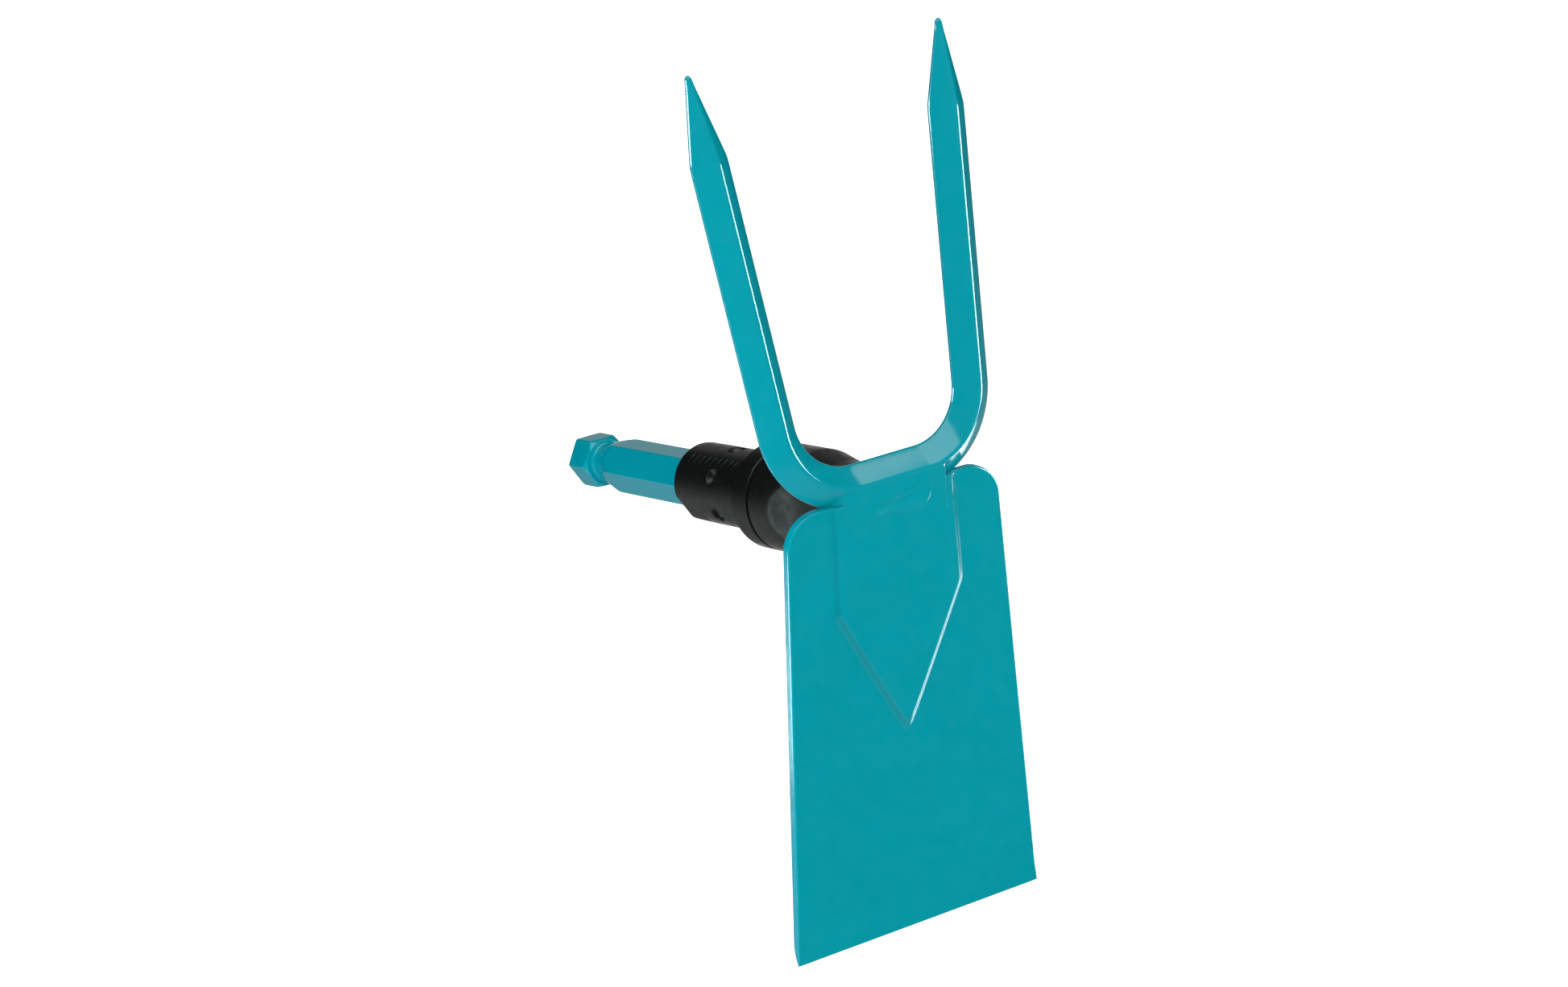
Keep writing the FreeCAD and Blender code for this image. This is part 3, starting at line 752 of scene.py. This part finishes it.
def front_weld_height(x, s):
    """Weld metal over the shield's top: a fill up to the fork, a hollow under it and a lip below."""
    plate = shield_height(x, np.minimum(s, BLADE_RISE - 0.8))
    middle = 1 - ease(np.abs(x), 13.0, 17.0)
    plate = plate + (SHIELD_RAISE + WELD_TUCK - plate) * middle * ease(s, 3.0, 7.0)
    fork = fork_front_height(x, s)
    highest = np.maximum(plate, fork)
    fillet = (soft_max(plate, fork, 0.5) - highest) * ease(s, 2.0, 7.0) * (1 - ease(s, 10.2, WELD_TOP))
    body = highest + fillet - WELD_TUCK * ease(s, 10.0, WELD_TOP)

    # the lip's line: nearly straight in the middle, turning up at both ends
    right_end = np.clip((x - 5.2) / 5.5, 0, 1)
    left_end = np.clip((-x - 8.0) / 7.0, 0, 1)
    border = (2.3 - 0.075 * (x + 6) + 4.8 * (1 - np.sqrt(1 - right_end ** 2 * 0.999))
              + 2.4 * left_end ** 2)
    lip_height, lip_half = 0.2, 0.7
    fade = (1 - ease(-x, 7, 14)) * (1 - ease(x, 10.2, 11.4))
    lip = lip_height * np.exp(-((s - border - 0.5) / lip_half) ** 2) * fade

    # the hollow above it, wider towards the right
    hollow_depth = 0.4
    hollow_half = 1.25 + 0.045 * (x + 6).clip(0, 14)
    across = (s - 4.95 - 0.13 * (x - 2)) / hollow_half
    hollow = hollow_depth * np.exp(-across ** 2) * ease(x, -8.5, 0.0) * (1 - ease(x, 8.2, 11.2))

    # the skirt over the shield, and both ends dipping under the steel
    rim_dip, end_dip = 0.5, 2.5
    skirt = WELD_PROUD * ease(s, -2.8, 0.8) - WELD_TUCK - rim_dip * (1 - ease(s, WELD_FOOT, -2.4))
    ends = ease(x, 15.6, 17.2) + ease(-x, 15.6, 19.0)
    return body + lip - hollow + skirt * (1 - ease(s, 7.5, 10.0)) - end_dip * ends


def make_front_weld(enamel):
    """The weld's surface over a flat floor sunk in the plate."""
    across = np.linspace(WELD_LEFT, WELD_RIGHT, 184)[None, :]
    up = np.linspace(WELD_FOOT, WELD_TOP, 100)[:, None]
    x, s = np.broadcast_arrays(across, up)
    top = np.stack([x, s, front_weld_height(x, s)], -1)
    rows, columns = x.shape
    bottom = top.copy()
    bottom[..., 2] = WELD_FLOOR
    total = rows * columns
    faces = flipped(grid_faces(rows, columns)) + grid_faces(rows, columns, first=total)
    loop = [i * columns + j for i, j in border_loop(rows, columns)]
    for a, b in zip(loop, loop[1:] + loop[:1]):
        faces.append((a, b, total + b, total + a))
    points = plate_to_row(np.vstack([top.reshape(-1, 3), bottom.reshape(-1, 3)]))
    points[:, 1] -= BLADE_FRONT
    add_piece("front_weld_bead", (points, faces), enamel, ["fork_front_weld"])


def make_rear_weld(enamel):
    """Rippled bead between the fork's back and the shank's top flat."""
    half, ripple_pitch, ripple_height, least = 12.0, 1.5, 0.18, 0.02
    foot_y, foot_z = -58.4, 2.4
    toe_y, crest_z = -52.6, 9.3
    rings = []
    for place in np.linspace(-half, half, 121):
        share = np.sqrt(max(1 - (abs(place) / (half + 0.05)) ** 4, 0.0))
        ripple = ripple_height * np.cos(2 * np.pi * place / ripple_pitch) * share
        reach = (toe_y - foot_y + ripple) * share + least
        rise = (crest_z - foot_z + ripple) * share + least
        curve = [(place, foot_y + reach * np.sin(turn) ** 0.8, foot_z + rise * np.cos(turn) ** 0.8)
                 for turn in np.linspace(0, np.pi / 2, 9)]
        rings.append([(place, foot_y, foot_z)] + curve)
    add_piece("rear_weld_bead", loft(rings), enamel, ["fork_rear_weld"])


def make_ring_weld(enamel):
    """Rippled bead round the lower half of the shank, against the back of the blade."""
    start, span = np.radians([171.5, 197])
    ripple_count, ripple_height, least = 22, 0.16, 0.03
    middle_radius, half_tall, half_deep = 9.0, 2.4, 2.9
    rings = []
    for share in np.linspace(0, 1, 161):
        angle = start + span * share
        size = np.sqrt(max(1 - (2 * share - 1) ** 8, 0.0))
        ripple = ripple_height * np.cos(2 * np.pi * share * ripple_count) * size
        middle_y = -BLADE_FRONT + 2.4 - np.sin(angle) * 9.9 * np.tan(BLADE_LEAN)
        tall = half_tall * size + ripple + least
        deep = half_deep * size + ripple + least
        outline = []
        for turn in np.linspace(0, 2 * np.pi, 24, endpoint=False):
            radius = middle_radius + tall * np.cos(turn)
            outline.append((radius * np.cos(angle), middle_y + deep * np.sin(turn),
                            radius * np.sin(angle)))
        rings.append(outline)
    add_piece("shank_weld_bead", loft(rings), enamel, ["shank_weld"])


# ---------------------------------------------------------------- materials

def node_material(name, colour):
    """A plain dielectric material, with its node tree and its shader."""
    material = bpy.data.materials.new(name)
    material.use_nodes = True
    tree = material.node_tree
    shader = tree.nodes["Principled BSDF"]
    shader.inputs["Metallic"].default_value = 0.0
    shader.inputs["Base Color"].default_value = (*colour, 1)
    return material, tree, shader


def noise(tree, scale, detail):
    """Noise in object space, where one unit is a metre."""
    place = tree.nodes.new("ShaderNodeTexCoord")
    texture = tree.nodes.new("ShaderNodeTexNoise")
    texture.inputs["Scale"].default_value = scale
    texture.inputs["Detail"].default_value = detail
    texture.inputs["Roughness"].default_value = 0.5
    tree.links.new(place.outputs["Object"], texture.inputs["Vector"])
    return texture.outputs["Fac"]


def ramp(tree, source, low, high):
    """A noise value stretched to run from low to high."""
    spread = tree.nodes.new("ShaderNodeMapRange")
    spread.inputs["From Min"].default_value = 0.3
    spread.inputs["From Max"].default_value = 0.7
    spread.inputs["To Min"].default_value = low
    spread.inputs["To Max"].default_value = high
    tree.links.new(source, spread.inputs["Value"])
    return spread.outputs["Result"]


def tint(tree, source, first, second):
    """A colour between the first, where the source is 0, and the second, where it is 1."""
    mix = tree.nodes.new("ShaderNodeMix")
    mix.data_type = "RGBA"
    mix.inputs["A"].default_value = (*first, 1)
    mix.inputs["B"].default_value = (*second, 1)
    tree.links.new(source, mix.inputs["Factor"])
    return mix.outputs["Result"]


def bumps(tree, shader, layers):
    """Height layers of (source, strength, distance) stacked into the shader's normal."""
    previous = None
    for source, strength, distance in layers:
        bump = tree.nodes.new("ShaderNodeBump")
        bump.inputs["Strength"].default_value = strength
        bump.inputs["Distance"].default_value = distance
        tree.links.new(source, bump.inputs["Height"])
        if previous:
            tree.links.new(previous, bump.inputs["Normal"])
        previous = bump.outputs["Normal"]
    tree.links.new(previous, shader.inputs["Normal"])


def enamel_material(name, ripple):
    """Glossy baked enamel: faint orange peel, a slow drift in colour and an uneven gloss."""
    material, tree, shader = node_material(name, (0.0, 0.33, 0.4))
    drift = ramp(tree, noise(tree, 60, 3), 0.0, 1.0)
    tree.links.new(tint(tree, drift, (0.0, 0.325, 0.395), (0.0, 0.34, 0.415)),
                   shader.inputs["Base Color"])
    tree.links.new(ramp(tree, noise(tree, 240, 5), 0.09, 0.15), shader.inputs["Roughness"])
    shader.inputs["IOR"].default_value = 1.5
    bumps(tree, shader, [(noise(tree, 420, 2), 0.05 * ripple, 0.0002),
                         (noise(tree, 2200, 3), 0.02 * ripple, 0.00005)])
    return material


def plastic_material():
    """Satin black moulded plastic with a fine spark-eroded grain."""
    material, tree, shader = node_material("black_plastic_satin", (0.0045, 0.0058, 0.0045))
    drift = ramp(tree, noise(tree, 90, 3), 0.0, 1.0)
    tree.links.new(tint(tree, drift, (0.0035, 0.0048, 0.0038), (0.0055, 0.0068, 0.0055)),
                   shader.inputs["Base Color"])
    tree.links.new(ramp(tree, noise(tree, 500, 6), 0.34, 0.46), shader.inputs["Roughness"])
    shader.inputs["IOR"].default_value = 1.5
    bumps(tree, shader, [(noise(tree, 3600, 4), 0.12, 0.00004),
                         (noise(tree, 700, 3), 0.05, 0.0001)])
    return material


# ---------------------------------------------------------------- studio

CAMERA_AZIMUTH, CAMERA_ELEVATION = -30.77, 12.6
SWEEP_RADIANCE = 0.3
WALL_RADIANCE = 0.34
LEFT_RADIANCE = 0.3
AMBIENT_FRONT = 0.86
AMBIENT_BEHIND = 0.2
BACKDROP_RADIANCE = 1.0
FLOOR_RADIANCE = 0.25


def direction(azimuth, elevation):
    """Unit vector; azimuth 0 is the blade's side (-Y) and grows towards +X."""
    a, e = np.radians([azimuth, elevation])
    return np.array([np.sin(a) * np.cos(e), -np.cos(a) * np.cos(e), np.sin(e)])


def soft_box(name, azimuth, elevation, distance, wide, tall, radiance,
             colour=(1, 1, 1), diffuse=True, glossy=True, only=None):
    """Rectangular area light that faces the origin, hidden from the camera.

    A mirror of it looks paper white at radiance 1. diffuse and glossy say whether it lights matt
    surfaces and shows in reflections, and only names the single piece that it lights."""
    data = bpy.data.lights.new(name, "AREA")
    data.shape = "RECTANGLE"
    data.size, data.size_y = wide, tall
    data.energy = radiance * np.pi * wide * tall
    data.color = colour
    light = bpy.data.objects.new(name, data)
    bpy.context.scene.collection.objects.link(light)
    towards = Vector(direction(azimuth, elevation))
    light.location = towards * distance
    light.rotation_mode = "QUATERNION"
    light.rotation_quaternion = towards.to_track_quat("Z", "Y")
    light.visible_camera = False
    light.visible_diffuse = diffuse
    light.visible_glossy = glossy
    if only:
        receivers = bpy.data.collections.new(name + "_receivers")
        receivers.objects.link(only)
        light.light_linking.receiver_collection = receivers


def studio_world():
    """Three rooms in one: white to the camera, soft light on matt surfaces that fades behind the
    head, and for reflections a dark room with dim pale areas.

    Those areas are the sweep low behind the head, a wall far behind it on the right and a low one
    on the left, the backdrop straight behind it as the camera sees it, and the floor."""
    world = bpy.data.worlds.new("studio")
    bpy.context.scene.world = world
    world.use_nodes = True
    tree = world.node_tree
    shader = tree.nodes["Background"]
    shader.inputs["Color"].default_value = (1, 1, 1, 1)
    place = tree.nodes.new("ShaderNodeTexCoord")
    parts = tree.nodes.new("ShaderNodeSeparateXYZ")
    tree.links.new(place.outputs["Generated"], parts.inputs["Vector"])

    def span(socket, start, end):
        """0 where the socket is at start, 1 where it is at end, smooth between."""
        node = tree.nodes.new("ShaderNodeMapRange")
        node.interpolation_type = "SMOOTHSTEP"
        node.inputs["From Min"].default_value = start
        node.inputs["From Max"].default_value = end
        tree.links.new(socket, node.inputs["Value"])
        return node.outputs["Result"]

    def combine(operation, first, second):
        node = tree.nodes.new("ShaderNodeMath")
        node.operation = operation
        for socket, value in zip(node.inputs, (first, second)):
            if isinstance(value, (int, float)):
                socket.default_value = value
            else:
                tree.links.new(value, socket)
        return node.outputs["Value"]

    def choose(factor, first, second):
        node = tree.nodes.new("ShaderNodeMix")
        tree.links.new(factor, node.inputs["Factor"])
        for socket, value in ((node.inputs["A"], first), (node.inputs["B"], second)):
            if isinstance(value, (int, float)):
                socket.default_value = value
            else:
                tree.links.new(value, socket)
        return node.outputs["Result"]

    behind = span(parts.outputs["Y"], 0.25, 0.6)
    low = span(parts.outputs["Z"], -0.1, -0.36)
    right = span(parts.outputs["X"], 0.1, 0.4)
    sweep = combine("MULTIPLY", combine("MULTIPLY", behind, low), SWEEP_RADIANCE)
    far = span(parts.outputs["Y"], 0.55, 0.8)
    right_wall = combine("MULTIPLY", combine("MULTIPLY", far, right), WALL_RADIANCE)
    left = span(parts.outputs["X"], -0.2, -0.45)
    left = combine("MULTIPLY", left, span(parts.outputs["Z"], 0.1, -0.1))
    left_wall = combine("MULTIPLY", combine("MULTIPLY", far, left), LEFT_RADIANCE)
    walls = combine("ADD", right_wall, left_wall)
    dot = tree.nodes.new("ShaderNodeVectorMath")
    dot.operation = "DOT_PRODUCT"
    dot.inputs[1].default_value = direction(180 + CAMERA_AZIMUTH, -CAMERA_ELEVATION)
    tree.links.new(place.outputs["Generated"], dot.inputs[0])
    backdrop = combine("MULTIPLY", span(dot.outputs["Value"], 0.94, 0.975), BACKDROP_RADIANCE)
    below = combine("MULTIPLY", span(parts.outputs["Z"], -0.62, -0.8), FLOOR_RADIANCE)
    mirrored = combine("ADD", combine("ADD", sweep, walls), combine("ADD", backdrop, below))
    ambient = choose(span(parts.outputs["Y"], 0.6, -0.6), AMBIENT_BEHIND, AMBIENT_FRONT)
    seen = tree.nodes.new("ShaderNodeLightPath")
    level = choose(seen.outputs["Is Glossy Ray"], ambient, mirrored)
    level = choose(seen.outputs["Is Camera Ray"], level, 1.0)
    tree.links.new(level, shader.inputs["Strength"])


def make_floor():
    """Plain pale floor, well below the head, that only the camera sees. Sizes in metres."""
    drop, reach = 0.6, 30.0
    low = cad_low[2] - drop
    data = bpy.data.meshes.new("floor")
    data.from_pydata([(-reach, -reach, low), (reach, -reach, low), (reach, reach, low),
                      (-reach, reach, low)], [], [(0, 1, 2, 3)])
    floor = bpy.data.objects.new("floor", data)
    bpy.context.scene.collection.objects.link(floor)
    material, tree, shader = node_material("pale_floor", (0.9, 0.9, 0.9))
    tree.links.new(ramp(tree, noise(tree, 6, 3), 0.6, 0.75), shader.inputs["Roughness"])
    shader.inputs["Emission Color"].default_value = (1, 1, 1, 1)
    shader.inputs["Emission Strength"].default_value = 0.93
    data.materials.append(material)
    floor.visible_glossy = False
    floor.visible_diffuse = False


def make_camera():
    """Long lens from the front left, slightly above, rolled a little. Lengths in metres."""
    roll = np.radians(9.21)
    aim = Vector((-0.00151, -0.00656, 0.00131))
    distance = 1.09359
    back = Vector(direction(CAMERA_AZIMUTH, CAMERA_ELEVATION))
    right = Vector((0, 0, 1)).cross(back).normalized()
    up = back.cross(right)
    turned_right = right * np.cos(roll) - up * np.sin(roll)
    turned_up = right * np.sin(roll) + up * np.cos(roll)
    data = bpy.data.cameras.new("camera")
    data.lens = 91.63
    data.sensor_width = 36.0
    camera = bpy.data.objects.new("camera", data)
    bpy.context.scene.collection.objects.link(camera)
    axes = Matrix((turned_right, turned_up, back)).transposed().to_4x4()
    axes.translation = aim + back * distance
    camera.matrix_world = axes
    bpy.context.scene.camera = camera


def make_lights(blade, fork):
    """Two fills for the paint's colour, and six boxes that only show as highlights."""
    cool, cooler = (0.85, 0.98, 1.0), (0.8, 0.97, 1.0)
    soft_box("front_fill", -5, 20, 0.9, 0.6, 0.6, 1.6, glossy=False)
    soft_box("left_fill", -92, -5, 0.28, 0.1, 0.3, 4.6, (0.7, 0.95, 1.1), glossy=False)
    soft_box("overhead", -20, 68, 0.75, 1.2, 0.5, 2.6, (0.97, 1.0, 1.0), diffuse=False)
    soft_box("point_edge", -98, 20, 0.55, 0.4, 0.2, 24.0, cool, diffuse=False, only=fork)
    soft_box("blade_edge", -115, -17, 0.55, 0.5, 0.08, 15.0, cool, diffuse=False, only=blade)
    soft_box("left_strip", -105, -22, 0.6, 0.06, 0.5, 9.0, cool, diffuse=False)
    soft_box("right_strip", 62, -4, 0.6, 0.42, 0.24, 22.0, cool, diffuse=False)
    soft_box("low_strip", 86, -33, 0.6, 0.4, 0.2, 7.0, cooler, diffuse=False)


# ---------------------------------------------------------------- build

enamel = enamel_material("teal_enamel", 1.0)
weld_enamel = enamel_material("teal_enamel_weld", 2.5)
plastic = plastic_material()

make_shank(enamel)
make_sleeve(plastic)
make_sleeve_marks(plastic)
make_hub(plastic)
blade = make_blade(enamel)
fork = make_fork(enamel)
make_front_weld(weld_enamel)
make_rear_weld(weld_enamel)
make_ring_weld(weld_enamel)

make_floor()
studio_world()
make_lights(blade, fork)
make_camera()
bpy.context.scene.view_settings.view_transform = "Standard"
